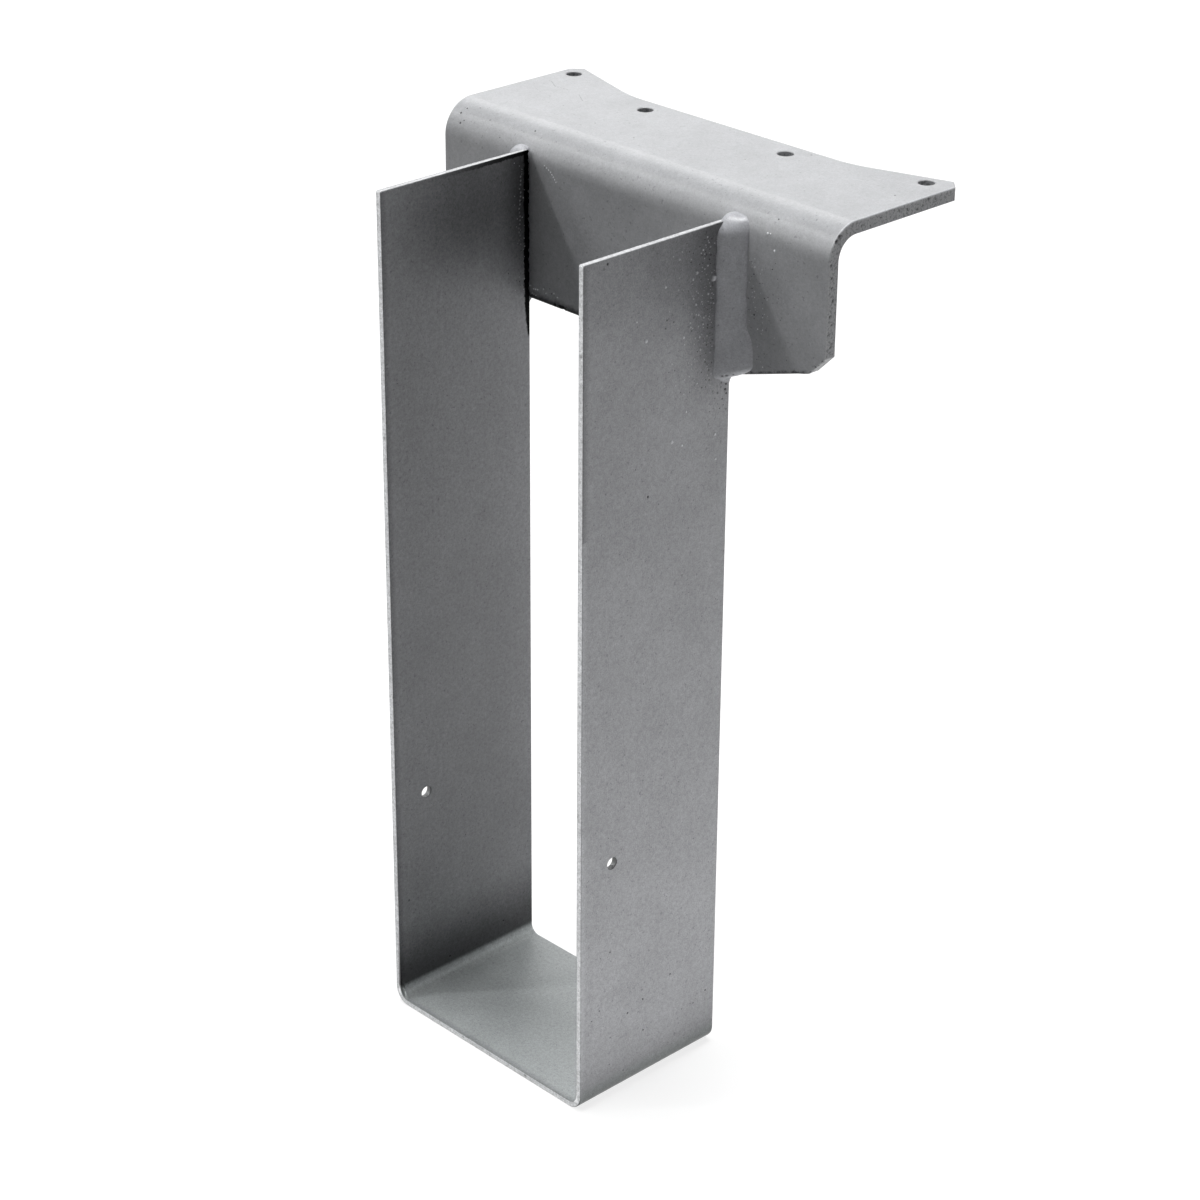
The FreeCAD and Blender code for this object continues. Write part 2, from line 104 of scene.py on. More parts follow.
# The three radii of the weld's round crown, and the one of the fillet at the leg's corner.
CAP_RADII = np.array([2.6, 3.0, 2.3]) * MM
FILLET = 2.4 * MM

plate_low, plate_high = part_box("top_flange")
strip_low, strip_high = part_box("stirrup")
weld_low, weld_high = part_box("weld_right")
mounts = {mount["name"]: mount for mount in frame["record"]["mounts"]}

bend_outer = PLATE_BEND + PLATE_GAUGE
bend_y = plate_low.y + bend_outer
bend_z = plate_high.z - bend_outer
leg_outer = strip_high.x
leg_inner = strip_high.x - STRIP_GAUGE
leg_middle = strip_high.x - STRIP_GAUGE / 2

# The centre of the weld's round crown, and the box of the fillet at the leg's lower corner.
cap_centre = np.array([leg_middle + 0.2 * MM, plate_low.y - 0.35 * MM, strip_high.z - 1.1 * MM])
fillet_low = np.array([leg_inner + 0.05 * MM, plate_low.y - 0.55 * MM, plate_low.z - 2.9 * MM])
fillet_high = np.array([leg_outer + 0.75 * MM, plate_low.y + 3.05 * MM, plate_low.z + 1.3 * MM])

# Places in millimetres for the soft steps of the paints.
face_mm = plate_low.y / MM
lower_mm = plate_low.z / MM
inner_mm = leg_inner / MM
top_mm = strip_high.z / MM


def make_path(start, heading, turn, steps):
    """The outer line of a folded sheet, as segments that folded() can follow.

    Steps are straight runs, given by their length, and right-angled bends, given by the
    radius of the sheet's outer face. Turn is 1 where the bends go left and -1 where right.
    """
    point = np.array(start, float)
    heading = np.array(heading, float)
    travelled = 0.0
    path = []
    for kind, size in steps:
        inward = turn * np.array([-heading[1], heading[0]])
        length = size if kind == "run" else size * math.pi / 2
        path.append((kind, travelled, travelled + length, point, heading, inward, size))
        if kind == "run":
            point = point + heading * size
        else:
            point = point + (inward + heading) * size
            heading = inward
        travelled += length
    return path


def folded(path, along, depth):
    """Points of the folded sheet's section, from places round its outer face."""
    along = np.asarray(along, float)
    depth = np.broadcast_to(np.asarray(depth, float), along.shape)
    places = np.zeros(along.shape + (2,))
    last = len(path) - 1
    for index, (kind, begins, ends, point, heading, inward, size) in enumerate(path):
        inside = (along >= begins) | (index == 0)
        inside &= (along < ends) | (index == last)
        part = along[inside] - begins
        deep = depth[inside][:, None]
        if kind == "run":
            places[inside] = point + part[:, None] * heading + deep * inward
        else:
            angle = (part / size)[:, None]
            out = np.cos(angle) * inward - np.sin(angle) * heading
            places[inside] = point + size * inward - (size - deep) * out
    return places


def stations(path):
    """Places round the outer face where the mesh has a row, closer together in the bends."""
    rows = []
    for kind, begins, ends, *_ in path:
        step = FACE_STEP if kind == "run" else BEND_STEP
        count = max(1, math.ceil((ends - begins) / step))
        rows.extend(begins + (ends - begins) * i / count for i in range(count))
    return rows


def trace(corners):
    """Points along a closed outline given by (across, along, radius) corners."""
    places = [Vector((x, y)) for x, y, radius in corners]
    arcs = []
    for index, (x, y, radius) in enumerate(corners):
        corner = places[index]
        into = (places[index - 1] - corner).normalized()
        out = (places[(index + 1) % len(places)] - corner).normalized()
        half = into.angle(out) / 2
        centre = corner + (into + out).normalized() * (radius / math.sin(half))
        start = corner + into * (radius / math.tan(half)) - centre
        finish = corner + out * (radius / math.tan(half)) - centre
        swing = start.angle_signed(finish)
        count = max(CORNER_POINTS, math.ceil(radius * abs(swing) / EDGE_STEP))
        arcs.append([
            centre + Matrix.Rotation(-swing * i / count, 2) @ start for i in range(count + 1)
        ])
    points = []
    for index, arc in enumerate(arcs):
        points.extend(arc)
        onward = arcs[(index + 1) % len(arcs)][0] - arc[-1]
        count = math.ceil(onward.length / EDGE_STEP)
        points.extend(arc[-1] + onward * (i / count) for i in range(1, count))
    return np.array(points)


def circle(centre, radius):
    angles = np.linspace(0, 2 * math.pi, HOLE_POINTS, endpoint=False)
    return np.array(centre) + radius * np.column_stack([np.cos(angles), -np.sin(angles)])


def outward_normals(loop):
    """Normals that point away from the steel: outlines run anticlockwise, holes clockwise."""
    onward = np.roll(loop, -1, axis=0) - loop
    onward /= np.linalg.norm(onward, axis=1)[:, None]
    tangent = onward + np.roll(onward, 1, axis=0)
    normal = np.column_stack([tangent[:, 1], -tangent[:, 0]])
    return normal / np.linalg.norm(normal, axis=1)[:, None]


def inside_loop(points, loop):
    """Which points lie inside a closed loop, by counting the sides that each one crosses."""
    inside = np.zeros(len(points), bool)
    for (x1, y1), (x2, y2) in zip(loop, np.roll(loop, -1, axis=0)):
        if y1 == y2:
            continue
        crosses = (points[:, 1] < y1) != (points[:, 1] < y2)
        at = x1 + (points[:, 1] - y1) * (x2 - x1) / (y2 - y1)
        inside ^= crosses & (points[:, 0] < at)
    return inside


def inside_steel(points, borders):
    """Which places of the blank lie inside its outline and outside its holes."""
    inside = inside_loop(points, borders[0])
    for border in borders[1:]:
        inside &= ~inside_loop(points, border)
    return inside


def rim_profile(gauge, front_round):
    """The edge's section, as (inset, depth) arrays from the outer face round to the inner one.

    Front_round holds the outer edge's radius at each place of the loop.
    """
    even = np.ones(len(front_round))
    widest = np.maximum(front_round, EDGE_ROUND) + SUPPORT
    profile = [(widest, 0.0 * even)]
    for angle in QUARTER:
        profile.append((front_round * (1 - math.sin(angle)), front_round * (1 - math.cos(angle))))
    deep = gauge - EDGE_ROUND
    rows = math.ceil((deep - front_round.min()) / RIM_STEP)
    for row in range(1, rows):
        profile.append((0.0 * even, front_round + (deep - front_round) * row / rows))
    for angle in reversed(QUARTER):
        inset = EDGE_ROUND * (1 - math.sin(angle)) * even
        profile.append((inset, gauge - EDGE_ROUND * (1 - math.cos(angle)) * even))
    profile.append((widest, gauge * even))
    return profile


def mark_rings(radius):
    """Places round a small mark, so that the mesh can follow it."""
    rings = [(0.0, 1), (0.5, 6), (1.0, 8), (1.25, 8)]
    if radius > BIG_MARK:
        rings = [(0.0, 1), (0.4, 6), (0.75, 10), (1.0, 12), (1.25, 12)]
    for share, count in rings:
        for i in range(count):
            angle = 2 * math.pi * (i + 0.5 * (count % 4)) / count
            yield share * radius * math.cos(angle), share * radius * math.sin(angle)


def tree_of(places):
    """A tree that finds the nearest of some places."""
    tree = KDTree(max(1, len(places)))
    for index, place in enumerate(places):
        tree.insert(place, index)
    tree.balance()
    return tree


def free_grid(borders, path, marks):
    """A grid over the blank, without its points on the borders or in a mark."""
    near = tree_of([(x, y, 0) for x, y in np.concatenate(borders)])
    spots = tree_of([(x, y, 0) for x, y, *_ in marks])
    first, last = borders[0][:, 0].min(), borders[0][:, 0].max()
    columns = np.linspace(first, last, math.ceil((last - first) / FACE_STEP) + 1)
    grid = np.array([(x, y) for y in stations(path) for x in columns])
    free = []
    for point in grid[inside_steel(grid, borders)]:
        _, index, distance = spots.find((*point, 0))
        in_mark = index is not None and distance < MARK_ROOM * marks[index][2]
        if not in_mark and near.find((*point, 0))[2] >= EDGE_STEP:
            free.append(point)
    return free


def fill_blank(borders, path, marks):
    """Triangles over the flat blank, finer round each mark: its points, faces and origins."""
    edges = []
    first = 0
    for border in borders:
        size = len(border)
        edges.extend((first + i, first + (i + 1) % size) for i in range(size))
        first += size
    inner = free_grid(borders, path, marks)
    for x, y, radius, *_ in marks:
        inner.extend((x + dx, y + dy) for dx, dy in mark_rings(radius))

    flat = [Vector(point) / MM for point in np.concatenate([*borders, np.array(inner)])]
    verts, _, faces, origin, _, _ = delaunay_2d_cdt(flat, edges, [], 0, 1e-5)
    places = np.array([tuple(vert) for vert in verts]) * MM
    faces = np.array(faces)
    faces = faces[inside_steel(places[faces].mean(axis=1), borders)]
    return places, faces, [found[0] if found else -1 for found in origin]


def rim_points(loop, gauge, rounding, ragged, shading):
    """One edge's points, row by row, as (across, along, depth, rim, shade), and its first row."""
    normals = outward_normals(loop)
    profile = rim_profile(gauge, np.array([rounding(point) for point in loop]))
    points = []
    for inset, deep in profile:
        for i, (spot, normal) in enumerate(zip(loop, normals)):
            outermost = inset[i] == 0
            rough = raggedness(spot, deep[i], *ragged) if outermost else 0.0
            across, along = spot - normal * (inset[i] - rough)
            shade = shading(spot, inset[i], deep[i])
            points.append((across, along, deep[i], float(outermost), shade))
    return points, loop - normals * profile[0][0][:, None]


def rim_polygons(rows, size, first):
    """The polygons round one edge, whose points start at a number and have a size a row."""
    for here in range(first, first + rows * size - size):
        there = here + 1 if (here - first + 1) % size else here + 1 - size
        yield here, there, there + size, here + size


def add_faces(blank, faces, origin, ends, gauge, points):
    """The polygons of the outer and the inner face, whose points are added to the others."""
    front = {}
    back = {}
    for index, place in enumerate(blank):
        if 0 <= origin[index] < len(ends):
            front[index], back[index] = ends[origin[index]]
            continue
        for lookup, level in ((front, 0.0), (back, gauge)):
            lookup[index] = len(points)
            points.append((*place, level, 0.0, 0.0))
    outer = [tuple(front[i] for i in face) for face in faces]
    return outer + [tuple(back[i] for i in reversed(face)) for face in faces]


def sheet_mesh(name, loops, path, place, gauge, rounding, ragged, shading, marks, dents):
    """A closed mesh of a folded sheet with rounded, slightly ragged edges.

    Loops are the outline and the holes in the flat blank. Marks are pits (depth above 0)
    and droplets (below 0) as (across, along, radius, depth, face), where face is 0 for the
    outer face and 1 for the inner one. Dents are further ones on the edges, in space.
    """
    points, polygons, borders, ends = [], [], [], []
    for loop in loops:
        rim, border = rim_points(loop, gauge, rounding, ragged, shading)
        size = len(loop)
        first = len(points)
        last = first + len(rim) - size
        points.extend(rim)
        borders.append(border)
        ends.extend((first + i, last + i) for i in range(size))
        polygons.extend(rim_polygons(len(rim) // size, size, first))
    marks = clear_of_edges(marks, borders)
    blank, faces, origin = fill_blank(borders, path, marks)
    polygons.extend(add_faces(blank, faces, origin, ends, gauge, points))

    across, along, depth, rim, shade = np.array(points).T
    mesh = bpy.data.meshes.new(name)
    mesh.from_pydata(place(across, folded(path, along, depth)).tolist(), [], polygons)
    add_values(mesh, "rim", rim)
    add_values(mesh, "shade", shade)
    tidy_faces(mesh, 0)
    spots = [
        (place(np.array([x]), folded(path, [y], face * gauge))[0], radius, deep)
        for x, y, radius, deep, face in marks
    ]
    press(mesh, dents + spots)
    return as_object(name, mesh)


def add_values(mesh, title, values):
    """Keep a number at each point of a mesh, for the paint to read."""
    attribute = mesh.attributes.new(title, "FLOAT", "POINT")
    attribute.data.foreach_set("value", np.array(values, np.float32))


def clear_of_edges(marks, borders):
    """The marks that keep off every edge of the blank."""
    places = np.array([mark[:2] for mark in marks])
    sizes = np.array([mark[2] for mark in marks])
    clear = inside_steel(places, borders)
    for border in borders:
        gaps = np.linalg.norm(places[:, None] - border[None], axis=2).min(axis=1)
        clear &= gaps > MARK_EDGE_ROOM * sizes
    return [mark for mark, free in zip(marks, clear) if free]


def tidy_faces(mesh, smoothing):
    """Turn every face outwards, drop loose points and smooth the form a little."""
    work = bmesh.new()
    work.from_mesh(mesh)
    loose = [vert for vert in work.verts if not vert.link_faces]
    bmesh.ops.delete(work, geom=loose, context="VERTS")
    bmesh.ops.recalc_face_normals(work, faces=work.faces)
    for _ in range(smoothing):
        bmesh.ops.smooth_vert(
            work, verts=work.verts, factor=0.5, use_axis_x=True, use_axis_y=True, use_axis_z=True
        )
    work.to_mesh(mesh)
    work.free()
    mesh.update()
    mesh.polygons.foreach_set("use_smooth", [True] * len(mesh.polygons))


def press(mesh, dents):
    """Press pits and raise droplets, and keep in "tone" which is which, for painted shade and
    highlights.
    """
    tree = tree_of([vertex.co for vertex in mesh.vertices])
    normals = [vertex.normal.copy() for vertex in mesh.vertices]
    tone = np.zeros(len(mesh.vertices))
    for place, radius, deep in dents:
        strength = min(1.0, 2 * abs(deep) / radius)
        for _, index, distance in tree.find_range(Vector(place), radius):
            share = math.sqrt(max(0.0, 1 - (distance / radius) ** 2))
            mesh.vertices[index].co -= normals[index] * (deep * share)
            tone[index] = -share * strength if deep > 0 else share * strength
    add_values(mesh, "tone", tone)


def as_object(name, mesh):
    piece = bpy.data.objects.new(name, mesh)
    bpy.context.scene.collection.objects.link(piece)
    return piece


def plate_loops():
    """The plate's outline in the flat, and its four nail holes."""
    half = plate_high.x
    clip_out = half - WING_CLIP
    clip_y = plate_high.y
    back = clip_y - (clip_out - WING_START) * math.tan(WING_ANGLE)
    rise = lower_rise(half - LOWER_CLIP)
    sharp = 0.75 * MM
    right_side = [
        (LOWER_START, 0.0, 4.0 * MM),
        (half - LOWER_CLIP, rise, sharp),
        (half, rise + LOWER_CLIP, sharp),
        (half, along_plate(clip_y - WING_CLIP, plate_high.z), sharp),
        (clip_out, along_plate(clip_y, plate_high.z), sharp),
        (WING_START, along_plate(back, plate_high.z), WING_CURVE),
    ]
    left_side = [(-x, y, radius) for x, y, radius in reversed(right_side)]
    loops = [trace(right_side + left_side)]
    for name in ("flange_nails_inner", "flange_nails_outer"):
        mount = mounts[name]
        x, y, z = mount["pos_m"]
        apart = mount["dims"]["spacing_x_mm"] * MM
        radius = mount["dims"]["hole_r_mm"] * MM
        for side in (-0.5, 0.5):
            loops.append(circle((x + side * apart, along_plate(y, z)), radius))
    return loops


def lower_rise(across):
    """How far the plate's lower edge has risen at a place across the plate."""
    return np.maximum(0.0, np.abs(across) - LOWER_START) * math.tan(LOWER_ANGLE)


def along_plate(y, z):
    """How far round the plate's outer face a place on it lies, from the lower edge up."""
    upright = bend_z - plate_low.z
    if z <= bend_z:
        return z - plate_low.z
    if y >= bend_y:
        return upright + bend_outer * math.pi / 2 + y - bend_y
    return upright + bend_outer * math.atan2(z - bend_z, bend_y - y)


def plate_rounding(point):
    """The radius of the plate's outer edge: rolled over where the shear met the lower edge."""
    if point[1] - lower_rise(point[0]) >= 1.0 * MM:
        return 0.5 * MM
    end = plate_high.x - LOWER_CLIP - abs(point[0])
    share = min(1.0, max(0.0, (end - 1.0 * MM) / (4.0 * MM)))
    return (0.5 + 0.6 * share) * MM


def raggedness(point, deep, grain, reach):
    """How far a sheared edge stands back from its outline at a place.

    Grain is the size of its unevenness in millimetres, and reach how far back it stands.
    """
    spot = Vector((point[0], point[1], deep)) / MM
    return -reach * max(0.0, 1.0 + noise.fractal(spot / grain, 0.8, 2.0, 3))


def plate_shade(point, inset, deep):
    """How much darker the plate is at its edges, below 0 where lighter: a painted highlight along
    the top of its end faces.
    """
    if deep > 0.6 * MM or inset > 0.6 * MM or abs(point[0]) < plate_high.x - 0.1 * MM:
        return 0.0
    return -0.35 if point[1] > bend_z - plate_low.z + 0.5 * bend_outer else 0.0


def strip_shade(point, inset, deep):
    """Painted shade in the nail holes, and a thin painted shade line beside the front edge's
    bright rim.

    The line lies on the inner face, and from a place high on the right leg on the outer one. The
    front edge's other rounded corner has a painted highlight.
    """
    change = 2 * (strip_high.z - strip_low.z)
    if abs(point[0]) < 0.9 * strip_high.y and 1 * MM < point[1] < change:
        return 0.75 if inset < 0.2 * MM else 0.0
    if point[0] > strip_low.y + 0.1 * MM or inset == 0:
        return 0.0
    inner = deep > STRIP_GAUGE / 2
    return 0.3 if inner == (point[1] < change) else -0.2


def plate_marks():
    """Marks on the plate, as (across, along, radius, depth, face)."""
    flange = [
        (35.2, 79.8, 0.45, 0.2), (79.8, 69.3, 0.4, 0.2), (-35.7, 52.3, 0.35, 0.15),
        (-16.2, 51, 0.35, 0.15), (24, 61, 0.3, 0.15), (-67.8, 62, 0.35, 0.12),
        (-57, 58, 0.3, 0.12), (58, 52, 0.3, 0.12),
    ]
    bend = [
        (-81.4, 36.7, 304, 0.4, 0.1), (-82.6, 35, 302.5, 0.5, 0.12),
        (-80.8, 33.1, 299.8, 0.5, 0.12), (-79.6, 33.6, 300.9, 0.3, 0.1),
        (-76.6, 38.3, 304.9, 0.3, 0.07), (-68.7, 35.6, 303.1, 0.35, 0.07),
        (-60.9, 32.9, 299.4, 0.3, 0.07), (-47.8, 36.7, 303.9, 0.4, 0.14),
        (63.4, 34.8, 302.3, 0.35, 0.15), (61.5, 32.2, 297.8, 0.5, -0.15),
        (62.6, 32.3, 298.0, 0.35, -0.12),
    ]
    face = [
        (65.1, 293.3, 0.5, -0.3), (64.3, 287.1, 0.35, 0.2), (56.6, 283.5, 0.35, 0.2),
        (57.2, 270.4, 0.4, 0.2), (61.6, 254.3, 0.35, -0.2), (59, 266.2, 0.3, -0.15),
        (62.8, 277.6, 0.3, 0.15), (61.4, 276.9, 0.3, 0.15), (60.6, 275.2, 0.25, 0.12),
    ]
    scratches = [((-80, 74), (-75, 71)), ((-75, 71), (-69, 71.5)), ((-62, 70), (-56, 66))]
    burrs = [
        ((-45, 252.4), (-43.4, 251.6), -0.2), ((-43.2, 251.6), (-40.4, 251.9), -0.16),
        ((-44, 249.9), (-41.2, 249.5), -0.16), ((-38.5, 252.8), (-36, 250.4), -0.12),
        ((-35.6, 253.6), (-33.9, 250.6), 0.12), ((-33.4, 252.6), (-31, 251.2), -0.1),
        ((-38, 295.4), (-35, 294), -0.08), ((-35, 294), (-31.8, 290.5), -0.1),
    ]
    marks = [(x * MM, along_plate(y * MM, plate_high.z), r, d) for x, y, r, d in flange]
    marks += [(x * MM, along_plate(y * MM, z * MM), r, 1.8 * d) for x, y, z, r, d in bend]
    marks += [(x * MM, z * MM - plate_low.z, r, d) for x, z, r, d in face]
    for start, finish, deep in burrs:
        for x, z in streak(start, finish, 0.95):
            marks.append((x * MM, z * MM - plate_low.z, 0.36, 2.0 * deep))
    for start, finish in scratches:
        for x, y in streak(start, finish, 0.7):
            marks.append((x * MM, along_plate(y * MM, plate_high.z), 0.26, 0.09))
    dice = random.Random(11)
    for _ in range(110):
        x = dice.choice((-1, 1, 1)) * (54.5 + dice.expovariate(1 / 6.0))
        z = dice.uniform(252.0, 290.0)
        deep = dice.choice((-0.12, -0.09, 0.12, 0.1))
        marks.append((x * MM, z * MM - plate_low.z, dice.uniform(0.16, 0.3), deep))
    return spread_out([(x, y, r * MM, d * MM, 0) for x, y, r, d in marks])


def streak(start, finish, apart):
    """Places in a row from one place to another."""
    (x1, y1), (x2, y2) = start, finish
    count = max(1, round(math.hypot(x2 - x1, y2 - y1) / apart))
    for i in range(count):
        yield x1 + (x2 - x1) * i / count, y1 + (y2 - y1) * i / count


def plate_dents():
    """Pits on the plate's sheared edges, in space."""
    end_pits = [
        (76.5, 305.2, 0.5), (62.8, 304.5, 0.35), (66.8, 304.2, 0.5), (36.2, 302.6, 0.7),
        (34.9, 301.3, 0.7), (34.4, 282.6, 0.5), (33.2, 277.7, 0.5), (33.4, 289.9, 0.5),
        (33.6, 286.7, 0.4), (34, 267.5, 0.45), (71.5, 303, 0.4), (50, 302.8, 0.4),
        (54.6, 304.2, 0.4), (46, 303.6, 0.4), (41.8, 304.4, 0.35), (74, 303.6, 0.4),
        (80, 304.4, 0.4), (32.9, 271.9, 0.4), (34.2, 274.8, 0.4), (33, 294.2, 0.5),
    ]
    lower_pits = [
        (-29.6, 31.9, 248.6, 1.1), (-31, 31.9, 248.7, 0.8), (-28.2, 31.9, 248.5, 0.8),
        (-33.2, 31.9, 248.7, 0.7), (86.2, 31.8, 263.2, 0.5), (83.5, 31.8, 260.6, 0.5),
        (82.4, 32.6, 258.8, 0.6), (84.6, 32.2, 261.4, 0.5), (85.6, 33, 262.6, 0.5),
        (81.6, 31.9, 258.2, 0.7),
    ]
    pits = [(plate_high.x / MM, *pit) for pit in end_pits] + lower_pits
    dents = [(Vector(spot) * MM, radius * MM, 0.6 * radius * MM) for *spot, radius in pits]
    dents.append((Vector((87.2, 58.1, 303.1)) * MM, 0.6 * MM, -0.02 * MM))
    return dents


def strip_marks(length):
    """Marks on the strip, as (across, along, radius, depth, face)."""
    right_outer = [
        (8.3, 291.6, 0.35, -0.3), (16, 285.5, 0.5, -0.4), (23.4, 282, 0.95, -0.7),
        (15.8, 275.2, 0.4, -0.3), (19, 268, 0.35, -0.3), (19.3, 270.1, 0.35, -0.3),
        (17, 271.5, 0.35, -0.3), (10.7, 265.7, 0.4, -0.3), (-5.5, 268.8, 0.6, -0.35),
        (18.1, 259.8, 0.4, -0.3), (17.7, 264.1, 0.35, -0.3), (14.4, 283.7, 0.35, -0.25),
        (18.5, 292.3, 0.35, -0.3), (20.6, 286.7, 0.35, -0.3), (21.1, 277.4, 0.4, -0.3),
        (2.6, 284.1, 0.35, -0.25), (6.4, 232, 0.55, -0.3), (10.9, 229.6, 0.4, -0.25),
        (25.6, 229.2, 0.45, -0.3), (13.4, 252, 0.3, -0.25), (-9.6, 276, 0.3, -0.2),
        (12.4, 240.5, 0.35, -0.25), (26.2, 220.5, 0.35, -0.25), (24.5, 294, 0.3, -0.2),
        (-21.9, 297.6, 0.5, 0.4), (-3.7, 216.4, 0.5, 0.4), (30.6, 22.6, 0.6, 0.5),
        (27.6, 20.2, 0.4, 0.4), (-23.1, 34.5, 0.35, 0.3), (-9.9, 27.8, 0.4, 0.3),
        (-26.7, 32, 0.35, 0.3), (-2.4, 17.6, 0.4, 0.3), (-18, 21.6, 0.35, 0.3),
        (-18.4, 55.6, 0.4, 0.3), (10.2, 34.5, 0.4, 0.3), (21.7, 17.6, 0.35, 0.3),
        (-2.8, 30.2, 0.4, 0.3), (-18.3, 10.9, 0.35, 0.3), (-11.7, 5.5, 0.35, 0.3),
        (26.4, 243, 0.45, 0.15), (28.6, 240.4, 0.4, 0.15), (29.9, 243.3, 0.5, 0.3),
        (24.2, 244.1, 0.5, 0.08), (27.6, 237.4, 0.3, 0.15), (22.8, 240.2, 0.3, 0.1),
        (30.4, 241.8, 0.45, 0.3), (30.2, 245, 0.4, 0.3), (27.8, 244.6, 0.4, 0.1),
        (25.3, 241.4, 0.35, 0.1), (29.2, 238.2, 0.3, 0.12), (28, 246, 0.4, 0.12),
        (26.6, 239.2, 0.3, 0.1), (24.6, 238.2, 0.3, 0.08), (30.5, 236.4, 0.35, 0.25),
    ]
    left_inner = [(-8.4, 6.6, 0.5, 0.4), (17.5, 10.5, 0.45, 0.4), (-26.8, 37.7, 0.45, 0.4)]
    marks = []

    def add_mark(leg, y, z, radius, deep, face):
        down = strip_high.z - z * MM
        along = down if leg == "left" else length - down
        marks.append((y * MM, along, radius * MM, deep * MM, face))

    for y, z, radius, deep in right_outer:
        add_mark("right", y, z, radius * 1.25 if deep < 0 else radius, deep, 0)
    for y, z, radius, deep in left_inner:
        add_mark("left", y, z, radius, deep, 1)
    dice = random.Random(5)
    for y, z in streak((27.6, 291.0), (27.0, 268.0), 1.35):
        add_mark("left", y + dice.uniform(-0.3, 0.3), z, dice.uniform(0.42, 0.5), -0.16, 1)

    # On each leg: spatter beside the bead, burrs beside the seam, and fine pits all over.
    for leg, spatter in (("right", 230), ("left", 90)):
        for _ in range(spatter):
            y = 23.6 - dice.expovariate(1 / 5.5)
            z = dice.uniform(246.0, 296.0)
            deep = dice.choice((-0.24, -0.2, -0.16, 0.14, 0.12))
            add_mark(leg, y, z, dice.uniform(0.18, 0.4), deep, 0)
        for _ in range(70):
            y = 29.4 - dice.expovariate(1 / 1.6)
            z = dice.uniform(250.0, 298.0)
            deep = dice.choice((-0.22, -0.16, 0.2))
            add_mark(leg, y, z, dice.uniform(0.18, 0.34), deep, 1)
        for _ in range(60):
            y = dice.uniform(-30.0, 30.0)
            z = dice.uniform(8.0, 240.0)
            face = dice.choice((0, 1))
            add_mark(leg, y, z, dice.uniform(0.18, 0.3), 0.12, face)
    return spread_out(marks)


def spread_out(marks):
    """Leave out each mark that would touch one before it."""
    kept = []
    for mark in marks:
        x, y, radius, *_ = mark
        if all(math.hypot(x - u, y - v) > MARK_ROOM * (radius + r) for u, v, r, *_ in kept):
            kept.append(mark)
    return kept


def strip_dents():
    """Nicks on the strip's edges, in space."""
    leg_nicks = [
        (1, -1, 270.3, 0.7), (1, -1, 152, 0.5), (-1, -1, 215, 0.6), (-1, -1, 108, 0.5),
        (1, 1, 165, 0.6), (1, 1, 96, 0.6), (1, 1, 205, 0.5), (1, 1, 184, 0.5),
        (1, 1, 142, 0.5), (1, 1, 240.5, 0.7),
    ]
    nicks = [
        (Vector((side * leg_middle, end * strip_high.y, z * MM)), radius)
        for side, end, z, radius in leg_nicks
    ]
    for x, radius in ((20.0, 0.6), (-12.0, 0.5)):
        nicks.append((Vector((x * MM, strip_low.y, -1.1 * MM)), radius))
    dents = [(spot, radius * MM, 0.3 * radius * MM) for spot, radius in nicks]
    dice = random.Random(3)
    for side in (-1, 1):
        for _ in range(40):
            spot = Vector((side * 45.3 * MM, strip_high.y, dice.uniform(250.0, 299.0) * MM))
            dents.append((spot, dice.uniform(0.4, 0.8) * MM, dice.uniform(0.1, 0.3) * MM))
    return dents


def make_plate():
    path = make_path((plate_low.y, plate_low.z), (0, 1), -1, [
        ("run", bend_z - plate_low.z),
        ("bend", bend_outer),
        ("run", plate_high.y - bend_y),
    ])

    def place(across, section):
        return np.column_stack([across, section])

    return sheet_mesh(
        "flange_plate", plate_loops(), path, place, PLATE_GAUGE,
        plate_rounding, PLATE_RAGGED, plate_shade, plate_marks(), plate_dents(),
    )


def make_strip():
    outer = SEAT_BEND + STRIP_GAUGE
    leg = strip_high.z - strip_low.z - outer
    seat = strip_high.x - strip_low.x - 2 * outer
    steps = [("run", leg), ("bend", outer), ("run", seat), ("bend", outer), ("run", leg)]
    path = make_path((strip_low.x, strip_high.z), (0, -1), 1, steps)
    length = path[-1][2]

    def place(across, section):
        return np.column_stack([section[:, 0], across, section[:, 1]])

    def rounding(point):
        return EDGE_ROUND

    sharp = 0.6 * MM
    low, high = strip_low.y, strip_high.y
    corners = ((low, 0.0), (high, 0.0), (high, length), (low, length))
    loops = [trace([(y, along, sharp) for y, along in corners])]
    for name in ("leg_nail_left", "leg_nail_right"):
        mount = mounts[name]
        x, y, z = mount["pos_m"]
        down = strip_high.z - z
        along = down if x < 0 else length - down
        loops.append(circle((y, along), mount["dims"]["r_mm"] * MM))
    return sheet_mesh(
        "stirrup_strip", loops, path, place, STRIP_GAUGE,
        rounding, STRIP_RAGGED, strip_shade, strip_marks(length), strip_dents(),
    )


def grid_edges(field, start, axis):
    """The field at the start and the finish of edges along an axis, and which ones cross 0."""
    finish = list(start)
    finish[axis] = slice(1, field.shape[axis])
    here = field[tuple(start)]
    there = field[tuple(finish)]
    return here, there, (here < 0) != (there < 0)


